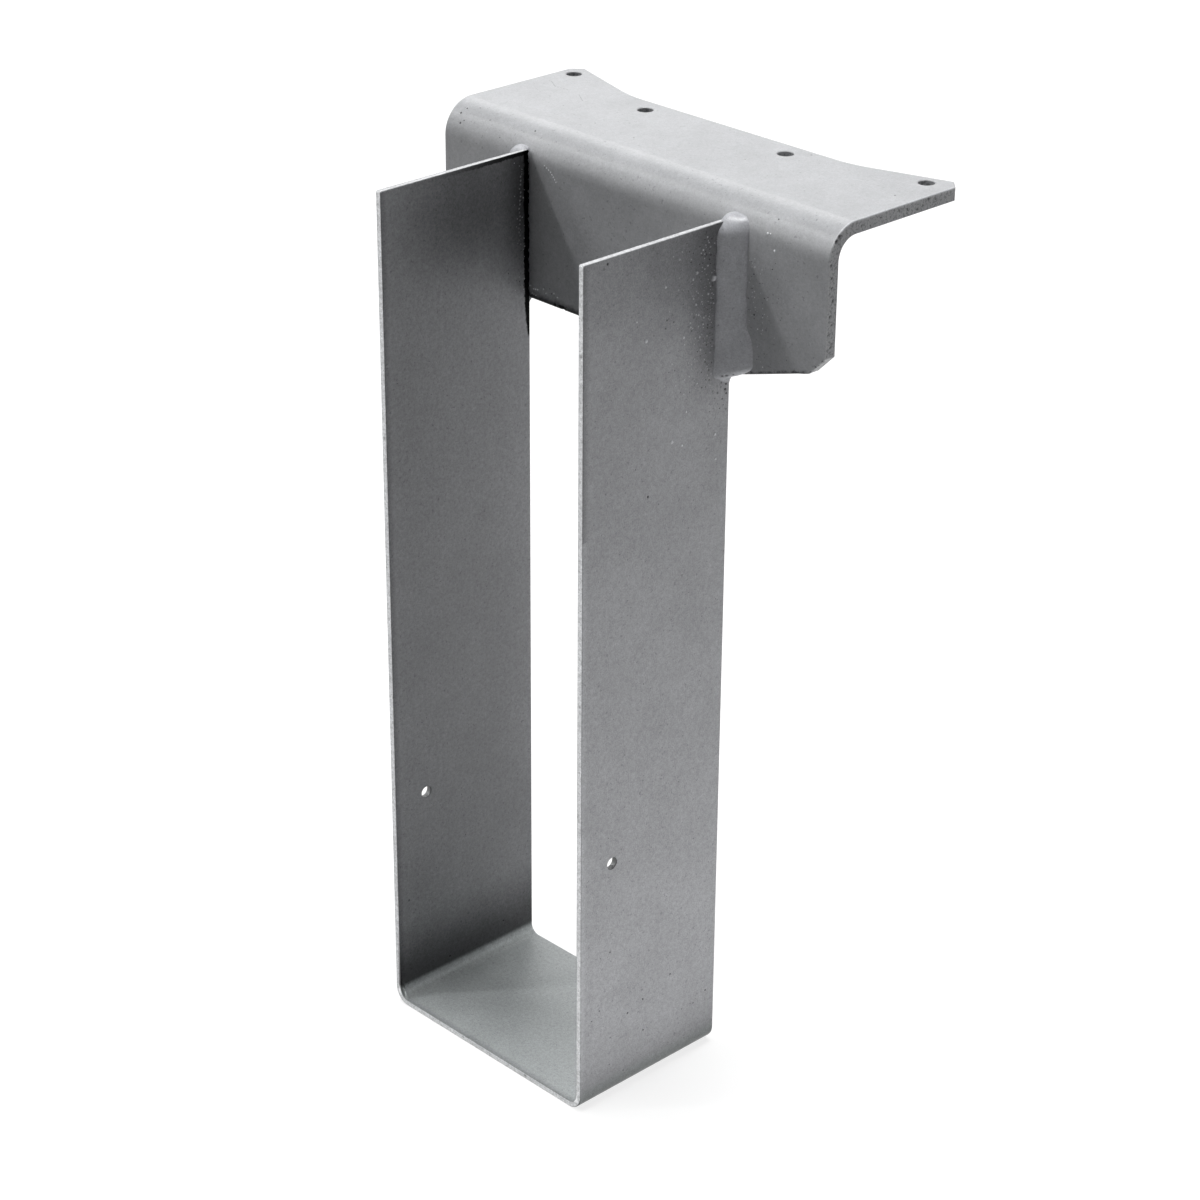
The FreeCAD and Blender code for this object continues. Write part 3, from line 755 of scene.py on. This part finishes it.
def surface_net(field, low):
    """Points and faces of the closed surface where a field on a grid crosses 0."""
    cells = np.array(field.shape) - 1
    total = np.zeros((*cells, 3))
    count = np.zeros(cells)
    for axis, near, far in itertools.product(range(3), (0, 1), (0, 1)):
        one, two = [other for other in range(3) if other != axis]
        start = [slice(0, size) for size in cells]
        start[one] = slice(near, cells[one] + near)
        start[two] = slice(far, cells[two] + far)
        here, there, crossed = grid_edges(field, start, axis)
        share = here / np.where(crossed, here - there, 1)
        total[..., axis] += np.where(crossed, share, 0)
        total[..., one] += crossed * near
        total[..., two] += crossed * far
        count += crossed
    used = count > 0
    number = np.full(cells, -1)
    number[used] = np.arange(used.sum())
    points = low + WELD_STEP * (np.argwhere(used) + total[used] / count[used][:, None])
    faces = []
    for axis in range(3):
        one, two = [other for other in range(3) if other != axis]
        start = [slice(1, size) for size in cells]
        start[axis] = slice(0, cells[axis])
        crossed = grid_edges(field, start, axis)[2]
        places = np.argwhere(crossed)
        ring = []
        for step_one, step_two in ((0, 0), (1, 0), (1, 1), (0, 1)):
            cell = places.copy()
            cell[:, one] += step_one
            cell[:, two] += step_two
            ring.append(number[tuple(cell.T)])
        faces.extend(np.column_stack(ring).tolist())
    return points, faces


def blend(one, two, size):
    """The union of two forms, with a fillet of about this size between them."""
    share = np.clip(0.5 + 0.5 * (two - one) / size, 0, 1)
    return two + (one - two) * share - size * share * (1 - share)


def drift(heights, grain, seed):
    """A slow wander along the weld, between about -1 and 1."""
    return np.array([noise.noise(Vector((z / grain, seed, 0.5))) * 1.6 for z in heights])


def outside(*gaps):
    """How far a place is outside all of a form's flat sides, below 0 inside the form."""
    gaps = np.stack(gaps)
    return np.linalg.norm(np.maximum(gaps, 0), axis=0) + np.minimum(gaps.max(axis=0), 0)


def leg_distance(x, y, z):
    """How far a place is outside the right leg's section, below 0 inside it."""
    across = np.abs(x - leg_middle) - STRIP_GAUGE / 2
    return outside(across, y - strip_high.y, z - strip_high.z)


def plate_distance(x, y, z):
    """How far a place is outside the plate, below 0 inside it."""
    middle = PLATE_BEND + PLATE_GAUGE / 2
    bent = np.abs(np.hypot(y - bend_y, z - bend_z) - middle) - PLATE_GAUGE / 2
    upright = np.abs(y - plate_low.y - PLATE_GAUGE / 2) - PLATE_GAUGE / 2
    flat = outside(upright, plate_low.z + lower_rise(x) - z)
    return np.where(z > bend_z, bent, flat)


def bead_form(out, forward, level, size, levels, square):
    """A fillet between leg and plate, rounded off above and below.

    The ends are round where square is 2, and blunter above that.
    """
    lowest, low, high, highest = plate_low.z + levels
    convex = 1.25
    sunk = 1.1 * MM
    reach, depth = size
    side = (np.maximum(out, 0) / reach) ** convex + (np.maximum(forward, 0) / depth) ** convex
    over = np.maximum(0, (level - high) / (highest - high))
    under = np.maximum(0, (low - level) / (low - lowest))
    whole = (side ** (square / convex) + (over + under) ** square) ** (1 / square)
    form = (whole - 1) * 0.7 * np.minimum(reach, depth)
    return np.maximum(form, np.maximum(-sunk - out, -sunk - forward))


def cap_form(place, drop, aside):
    """The round crown at the weld's upper end."""
    centre = cap_centre + np.array([aside, 0, -drop])
    shares = [(value - middle) / size for value, middle, size in zip(place, centre, CAP_RADII)]
    return (np.linalg.norm(np.stack(shares), axis=0) - 1) * CAP_RADII.min()


def corner_form(place, leg, plate):
    """The small fillet at the leg's lower corner, within its own box."""
    form = np.maximum(FILLET, np.minimum(leg, plate))
    form = form - np.hypot(np.maximum(FILLET - leg, 0), np.maximum(FILLET - plate, 0))
    for value, low, high in zip(place, fillet_low, fillet_high):
        form = np.maximum(form, np.maximum(low - value, value - high))
    return form


def weld_field(x, y, z, seed, drop, aside):
    """The right weld as a field, below 0 inside it.

    Drop lowers its top end, and aside moves its crown out from the leg.
    """
    leg = leg_distance(x, y, z)
    plate = plate_distance(x, y, z)
    out = x - leg_outer
    bent = np.hypot(y - bend_y, z - bend_z) - bend_outer
    forward = np.where(z > bend_z, bent, plate_low.y - y)
    above = z - lower_rise(x)

    reach = BEAD_SIZE[0] + 0.35 * MM * drift(z[0, 0], 6 * MM, seed)
    depth = BEAD_SIZE[1] + 0.25 * MM * drift(z[0, 0], 4 * MM, seed + 7)
    levels = BEAD_LEVELS - np.array([0, 0, drop, drop])
    whole = bead_form(out, forward, above, (reach, depth), levels, 2.3)
    foot = bead_form(out, forward, above, FOOT_SIZE, FOOT_LEVELS, 2.2)
    tail = bead_form(out, forward, z, TAIL_SIZE, TAIL_LEVELS, 2.0)
    tail = np.maximum(tail, y - strip_high.y)
    others = [
        (cap_form((x, y, z), drop, aside), 2.0),
        (foot, 0.7),
        (tail, 0.5),
        (corner_form((x, y, z), leg, plate), 0.4),
    ]
    for form, fillet in others:
        whole = blend(whole, form, fillet * MM)
    return np.maximum(whole, -np.minimum(leg, plate) - 0.9 * MM)


def make_bead(name, side, seed, drop, aside):
    """A weld bead, sunk a little into leg and plate so that no gap shows at its toes."""
    margin = 1.3 * MM
    lows = [value - margin for value in weld_low]
    highs = [value + margin for value in weld_high]
    axes = [np.arange(low, high, WELD_STEP) for low, high in zip(lows, highs)]
    field = weld_field(*np.meshgrid(*axes, indexing="ij"), seed, drop, aside)
    points, faces = surface_net(field, np.array(lows))
    points[:, 0] *= side
    mesh = bpy.data.meshes.new(name)
    mesh.from_pydata(points.tolist(), [], faces)
    tidy_faces(mesh, 3)
    pits = [(50.6, 27, 249.6, 0.6), (49.6, 26.2, 249.4, 0.5), (52.3, 28.4, 250, 0.4)]
    dents = []
    if side > 0:
        dents = [(Vector(spot) * MM, radius * MM, 0.25 * MM) for *spot, radius in pits]
    press(mesh, dents)
    return as_object(name, mesh)


class Graph:
    """The nodes of a material or of the world, and short ways to add and feed them."""

    def __init__(self, owner):
        owner.use_nodes = True
        self.nodes = owner.node_tree.nodes
        self.links = owner.node_tree.links

    def feed(self, socket, value):
        """Give a socket a number, a colour or what comes out of another socket."""
        if isinstance(value, bpy.types.NodeSocket):
            self.links.new(value, socket)
        else:
            socket.default_value = (*value, 1) if isinstance(value, tuple) else value

    def add(self, kind, *inputs, **named):
        """A new node, fed in the order of its sockets or by their names."""
        node = self.nodes.new("ShaderNode" + kind)
        for socket, value in zip(node.inputs, inputs):
            self.feed(socket, value)
        for name, value in named.items():
            self.feed(node.inputs[name], value)
        return node

    def maths(self, kind, *inputs):
        node = self.add("Math", *inputs)
        node.operation = kind
        return node.outputs[0]

    def product(self, *factors):
        whole = factors[0]
        for factor in factors[1:]:
            whole = self.maths("MULTIPLY", whole, factor)
        return whole

    def ramp(self, value, low, high, to_low, to_high):
        """A smooth step of a value from one level to another."""
        node = self.add("MapRange", value, low, high, to_low, to_high)
        node.interpolation_type = "SMOOTHSTEP"
        return node.outputs[0]

    def rises(self, value, low, high):
        """0 below one place and 1 above another, both given in millimetres."""
        return self.ramp(value, low * MM, high * MM, 0.0, 1.0)

    def falls(self, value, low, high):
        """1 below one place and 0 above another, both given in millimetres."""
        return self.ramp(value, low * MM, high * MM, 1.0, 0.0)

    def less(self, share, amount):
        """The factor that takes off an amount where a share is 1."""
        return self.maths("MULTIPLY_ADD", share, -amount, 1.0)

    def swing(self, grains, amount, middle):
        """Noise that swings by an amount round a middle."""
        return self.maths("MULTIPLY_ADD", self.maths("SUBTRACT", grains, 0.5), amount, middle)

    def mixed(self, share, one, two):
        """A colour between two, each a colour or a socket."""
        node = self.add("Mix")
        node.data_type = "RGBA"
        for name, value in (("Factor", share), ("A", one), ("B", two)):
            self.feed(node.inputs[name], value)
        return node.outputs["Result"]


class Paint(Graph):
    """The graph of one of the hanger's paints, which knows places in the frame's axes."""

    def __init__(self, name):
        self.material = bpy.data.materials.new(name)
        super().__init__(self.material)
        self.place = self.add("TexCoord").outputs["Object"]
        self.x, self.y, self.z = self.add("SeparateXYZ", self.place).outputs
        self.aside = self.maths("ABSOLUTE", self.x)

    def noise(self, size, detail):
        """Noise with grains of a size given in millimetres."""
        node = self.add("TexNoise", Scale=1 / (size * MM), Detail=detail, Roughness=0.6)
        self.feed(node.inputs["Vector"], self.place)
        return node.outputs["Fac"]

    def named(self, attribute):
        node = self.add("Attribute")
        node.attribute_name = attribute
        return node.outputs["Fac"]


def paint_factor(graph, unshaded, drops, fine, grain, patches, speckle, spots):
    """How light the paint is at each place: fine speckle, pinholes and slow smudges, and the
    painted shade and highlights.
    """
    specks = graph.ramp(graph.noise(0.9, 3), 0.4, 0.5, spots, 0.0)
    return graph.product(
        unshaded,
        graph.swing(fine, speckle, 1.0),
        graph.swing(grain, speckle * 0.7, 1.0),
        graph.ramp(graph.noise(28, 2), 0.3, 0.7, 0.955, 1.045),
        graph.ramp(patches, 0.3, 0.7, 0.975, 1.025),
        graph.ramp(graph.noise(1.2, 1), 0.25, 0.32, 0.72, 1.0),
        graph.maths("MULTIPLY_ADD", drops, 1.1, 1.0),
        graph.less(graph.named("shade"), 1.0),
        graph.less(graph.product(graph.named("rim"), specks), 1.0),
    )


def make_paint(
    name, colour, edge_colour, speckle, spots, metal, gloss, painted_shading=None, seat_colour=None
):
    """Grey paint on sheared steel.

    Spots is how dark the specks on the edges are, metal how bare they are, gloss the least
    and the greatest roughness, and the function given after these the factors of the painted
    shade and highlights.
    """
    graph = Paint(name)
    fine = graph.noise(0.5, 2)
    grain = graph.noise(1.3, 3)
    patches = graph.noise(7, 3)
    rim = graph.named("rim")
    tone = graph.named("tone")
    # Pits are darkened as painted shade, and droplets lightened as painted highlights.
    pits = graph.maths("MAXIMUM", graph.product(tone, -1.0), 0.0)
    drops = graph.maths("MAXIMUM", tone, 0.0)
    unshaded = graph.less(pits, 0.85)
    # Painted shade darkens the paint and lowers its specular level, less on the droplets.
    if painted_shading:
        shading_factor = graph.product(*painted_shading(graph))
        unshaded = graph.product(unshaded, graph.maths("MAXIMUM", shading_factor, graph.product(drops, 0.8)))
    factor = paint_factor(graph, unshaded, drops, fine, grain, patches, speckle, spots)
    face = colour
    if seat_colour:
        face = graph.mixed(graph.falls(graph.z, 2, 8), colour, seat_colour)
    tinted = graph.add("VectorMath", graph.mixed(rim, face, edge_colour))
    tinted.operation = "SCALE"
    graph.feed(tinted.inputs["Scale"], factor)
    bump = graph.add("Bump", Strength=0.5, Distance=0.06 * MM, Height=grain)
    looks = {
        "Base Color": tinted.outputs[0],
        "Roughness": graph.ramp(patches, 0.3, 0.7, *gloss),
        "Specular IOR Level": graph.product(unshaded, 0.5),
        "Normal": bump.outputs[0],
    }
    if metal:
        looks["Metallic"] = graph.product(rim, graph.ramp(grain, 0.3, 0.6, 0.85 * metal, metal))
    shader = graph.nodes["Principled BSDF"]
    for socket, value in looks.items():
        graph.feed(shader.inputs[socket], value)
    return graph.material


def plate_edge_shade(graph):
    """Painted shade along the plate's lower edge, where it turns under: a dark, uneven band,
    narrower beyond the legs.
    """
    beyond = graph.maths("MAXIMUM", graph.maths("SUBTRACT", graph.aside, LOWER_START), 0.0)
    rise = graph.product(beyond, math.tan(LOWER_ANGLE))
    above = graph.maths("SUBTRACT", graph.maths("SUBTRACT", graph.z, plate_low.z), rise)
    height = graph.product(
        graph.maths("ADD", above, graph.swing(graph.noise(1.6, 4), 2.4 * MM, 0.0)),
        graph.ramp(graph.aside, 44 * MM, 50 * MM, 1.0, 2.2),
    )
    band = graph.product(graph.falls(height, 0.8, 3.6), graph.falls(graph.aside, 78, 81))
    return [graph.less(band, 0.78)]


# The strip's painted shade and highlights, with the seam's black line, which is partly dark slag.
def strip_shading_and_slag(graph):
    return [seam_shade(graph), bead_shade(graph), corner_shade(graph)]


def seam_shade(graph):
    """The unwelded seams, where the legs' inner faces meet the plate: a black line amid painted
    shade.

    The line is painted shade of the gap, and dark slag where it runs on below the plate. The left
    leg's inner face has painted shade towards its upper end, which has a dark lip, and the strip's
    sawn ends are darkened by painted shade that tones down the light on their upward faces.
    """
    inner = graph.falls(graph.aside, inner_mm + 0.25, inner_mm + 0.55)
    left = graph.rises(graph.x, -inner_mm - 0.35, -inner_mm - 0.15)
    left = graph.product(left, graph.falls(graph.x, -inner_mm + 0.25, 0))
    shift = graph.swing(graph.noise(2.2, 4), 1.8 * MM, 0.0)
    level = graph.maths("ADD", graph.z, shift)
    reach = graph.maths("ADD", graph.y, shift)
    reach = graph.maths("ADD", reach, graph.ramp(graph.z, 235 * MM, 249 * MM, -1.2 * MM, 0.0))
    # The black line: painted shade of the gap, and dark slag below the plate.
    line = [
        graph.rises(reach, face_mm - 2.85, face_mm - 2.15),
        graph.rises(level, lower_mm - 14.2, lower_mm - 12.2),
        inner,
    ]
    lip = [graph.rises(level, top_mm - 1.6, top_mm - 1.1), graph.rises(graph.y, -14, 22), left]
    # Painted shade in the corner by the seams, and on the left leg's inner face towards its upper
    # end.
    seam_corner_shade = [graph.rises(graph.y, 17, 31), graph.rises(graph.z, 238, 285), inner]
    upper_leg_shade = [graph.rises(graph.y, -40, 6), graph.rises(graph.z, 252, 286), left]
    # Painted shade on the strip's top ends, which face the light.
    top_end_shade = graph.rises(graph.z, top_mm - 0.5, top_mm - 0.1)
    factors = [graph.less(top_end_shade, 0.3)]
    for part, amount in ((line, 0.98), (lip, 0.85), (seam_corner_shade, 0.68), (upper_leg_shade, 0.45)):
        factors.append(graph.less(graph.product(*part), amount))
    return graph.product(*factors)


def bead_shade(graph):
    """Painted shade beside a weld and towards the upper end of a leg's outer face."""
    outer = graph.rises(graph.aside, inner_mm + 1.35, inner_mm + 2.05)
    beside_weld_shade = graph.product(outer, graph.rises(graph.y, 8, 25), graph.rises(graph.z, 236, 258))
    above = graph.product(
        outer, graph.ramp(graph.y, -32 * MM, 20 * MM, 0.5, 1.0), graph.rises(graph.z, 258, 292)
    )
    return graph.product(graph.less(beside_weld_shade, 0.42), graph.less(above, 0.3))


def corner_shade(graph):
    """Painted shade on the left leg's inner face above the bend, and a painted highlight in a band
    on both bends.
    """
    inner = graph.product(
        graph.falls(graph.aside, inner_mm + 0.75, inner_mm + 1.15),
        graph.rises(graph.aside, inner_mm - 3.75, inner_mm - 2.25),
    )
    left = graph.falls(graph.x, -1, 1)
    above = graph.rises(graph.z, 2.8, 5)
    # Painted shade, darkest just above the bend.
    painted_shading = graph.product(inner, left, above, graph.falls(graph.z, 5, 34))
    # The band is a painted highlight, half again as light.
    band = graph.product(inner, graph.rises(graph.z, 0.4, 1.5), graph.less(above, 1.0))
    return graph.product(graph.less(painted_shading, 0.68), graph.less(band, -0.5))


def direction(azimuth, elevation):
    """The way to a place at an angle from +X and at a height above the ground, in radians."""
    level = math.cos(elevation)
    return Vector((
        math.cos(azimuth) * level, math.sin(azimuth) * level, math.sin(elevation)
    ))


def make_camera():
    """The photograph's viewpoint."""
    azimuth = 0.80421 - math.pi / 2
    elevation = 0.45436
    roll = 0.00697
    data = bpy.data.cameras.new("camera")
    data.sensor_width = 36.0
    data.lens = 93.61
    data.clip_start = 0.01
    data.clip_end = 50.0
    camera = bpy.data.objects.new("camera", data)
    bpy.context.scene.collection.objects.link(camera)
    back = direction(azimuth, elevation)
    right = direction(azimuth + math.pi / 2, 0)
    up = back.cross(right)
    turned_right = math.cos(roll) * right + math.sin(roll) * up
    turned_up = math.cos(roll) * up - math.sin(roll) * right
    axes = Matrix((turned_right, turned_up, back)).transposed()
    place = Vector((0.677011, -0.630400, 0.614332))
    camera.matrix_world = Matrix.Translation(place) @ axes.to_4x4()
    bpy.context.scene.camera = camera


def add_lamp(name, kind, energy):
    data = bpy.data.lights.new(name, kind)
    data.energy = energy
    lamp = bpy.data.objects.new(name, data)
    lamp.rotation_mode = "QUATERNION"
    bpy.context.scene.collection.objects.link(lamp)
    return lamp, data


def make_lights():
    """Wide soft lamps all round, and cards on the right that stand for the bright table."""
    suns = [
        ("top", 78, 90, 12, 1.92), ("top_left", 78, 180, 12, 0.7), ("top_front", 78, 270, 12, 0.6),
        ("overhead", 90, 0, 12, 0.3), ("key", 42, 233, 4, 0.6), ("ridge", 39, 209, 8, 0.2),
        ("low_key", 22, 235, 12, 0.24), ("front", 35, 252, 30, 0.34), ("left", 35, 144, 30, 0.43),
        ("low_left", 8, 240, 30, 0.08), ("side", 6, 0, 20, 0.24),
    ]
    for name, elevation, azimuth, width, energy in suns:
        lamp, data = add_lamp(name, "SUN", energy)
        data.angle = math.radians(width)
        toward = direction(math.radians(azimuth), math.radians(elevation))
        lamp.rotation_quaternion = toward.to_track_quat("Z", "Y")
    table = strip_low.z + 1 * MM
    up = (0, 0, 1)
    cards = [
        ("foot_card", (0.12, 0.03, table), up, (0.13, 0.3), 0.22),
        ("near_card", (0.2, 0.05, table + 1 * MM), up, (0.2, 0.4), 0.46),
        ("wide_card", (0.25, 0.1, table + 2 * MM), up, (0.38, 0.7), 0.84),
        ("rear_card", (0.1, 0.5, table), up, (0.8, 0.5), 0.5),
        ("side_card", (1.2, 0.3, 0.3), (-1, -0.25, 0), (0.8, 0.6), 0.97),
    ]
    for name, place, facing, (width, depth), share in cards:
        lamp, data = add_lamp(name, "AREA", 4.0 * width * depth * share)
        data.shape = "RECTANGLE"
        data.size = width
        data.size_y = depth
        lamp.location = place
        lamp.rotation_quaternion = Vector(facing).to_track_quat("-Z", "Y")
        lamp.visible_camera = False
        lamp.visible_glossy = False


def make_world():
    """White to the camera and in reflections, and no light of its own."""
    world = bpy.data.worlds.new("studio")
    bpy.context.scene.world = world
    graph = Graph(world)
    graph.nodes.clear()
    rays = graph.add("LightPath").outputs
    seen = graph.maths("MAXIMUM", rays["Is Camera Ray"], rays["Is Glossy Ray"])
    white = graph.add("Background", Strength=seen)
    graph.add("OutputWorld", white.outputs[0])


def make_floor():
    """White ground that keeps a faint shadow and throws no light onto the hanger."""
    size = 20.0
    mesh = bpy.data.meshes.new("floor")
    corners = [(-size, -size), (size, -size), (size, size), (-size, size)]
    mesh.from_pydata([(x, y, strip_low.z) for x, y in corners], [], [(0, 1, 2, 3)])
    material = bpy.data.materials.new("floor_white")
    graph = Graph(material)
    graph.nodes.clear()
    rays = graph.add("LightPath").outputs
    lit = graph.add("BsdfDiffuse", Color=(0.25, 0.25, 0.25))
    glow = graph.add("Emission", Strength=0.8)
    seen = graph.add("AddShader", lit.outputs[0], glow.outputs[0])
    mirrored = graph.add("Emission", Strength=rays["Is Glossy Ray"])
    mix = graph.add("MixShader", rays["Is Camera Ray"], mirrored.outputs[0], seen.outputs[0])
    graph.add("OutputMaterial", mix.outputs[0])
    mesh.materials.append(material)
    as_object("floor", mesh)


flange_paint = make_paint(
    "flange_paint", (0.37, 0.376, 0.388), (0.3, 0.305, 0.315), 0.5, 0.42, 0.0, (0.33, 0.37),
    painted_shading=plate_edge_shade,
)
stirrup_paint = make_paint(
    "stirrup_paint", (0.338, 0.342, 0.357), (0.68, 0.69, 0.7), 0.9, 0.12, 0.7, (0.4, 0.52),
    painted_shading=strip_shading_and_slag, seat_colour=(0.33, 0.35, 0.352),
)
weld_paint = make_paint(
    "weld_paint", (0.352, 0.358, 0.379), (0.352, 0.358, 0.379), 0.7, 0.0, 0.0, (0.36, 0.44),
)
pieces = [
    (make_plate(), "top_flange", "flange_paint", flange_paint),
    (make_strip(), "stirrup", "stirrup_paint", stirrup_paint),
    (make_bead("bead_right", 1, 2.0, 0.0, 0.0), "weld_right", "weld_paint", weld_paint),
    (make_bead("bead_left", -1, 31.0, 1.2 * MM, 2.6 * MM), "weld_left", "weld_paint", weld_paint),
]
for piece, node, slot, paint in pieces:
    piece.data.materials.append(paint)
    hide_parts(node)
    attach(piece, "root")

make_camera()
make_lights()
make_world()
make_floor()
bpy.context.scene.view_settings.view_transform = "Standard"
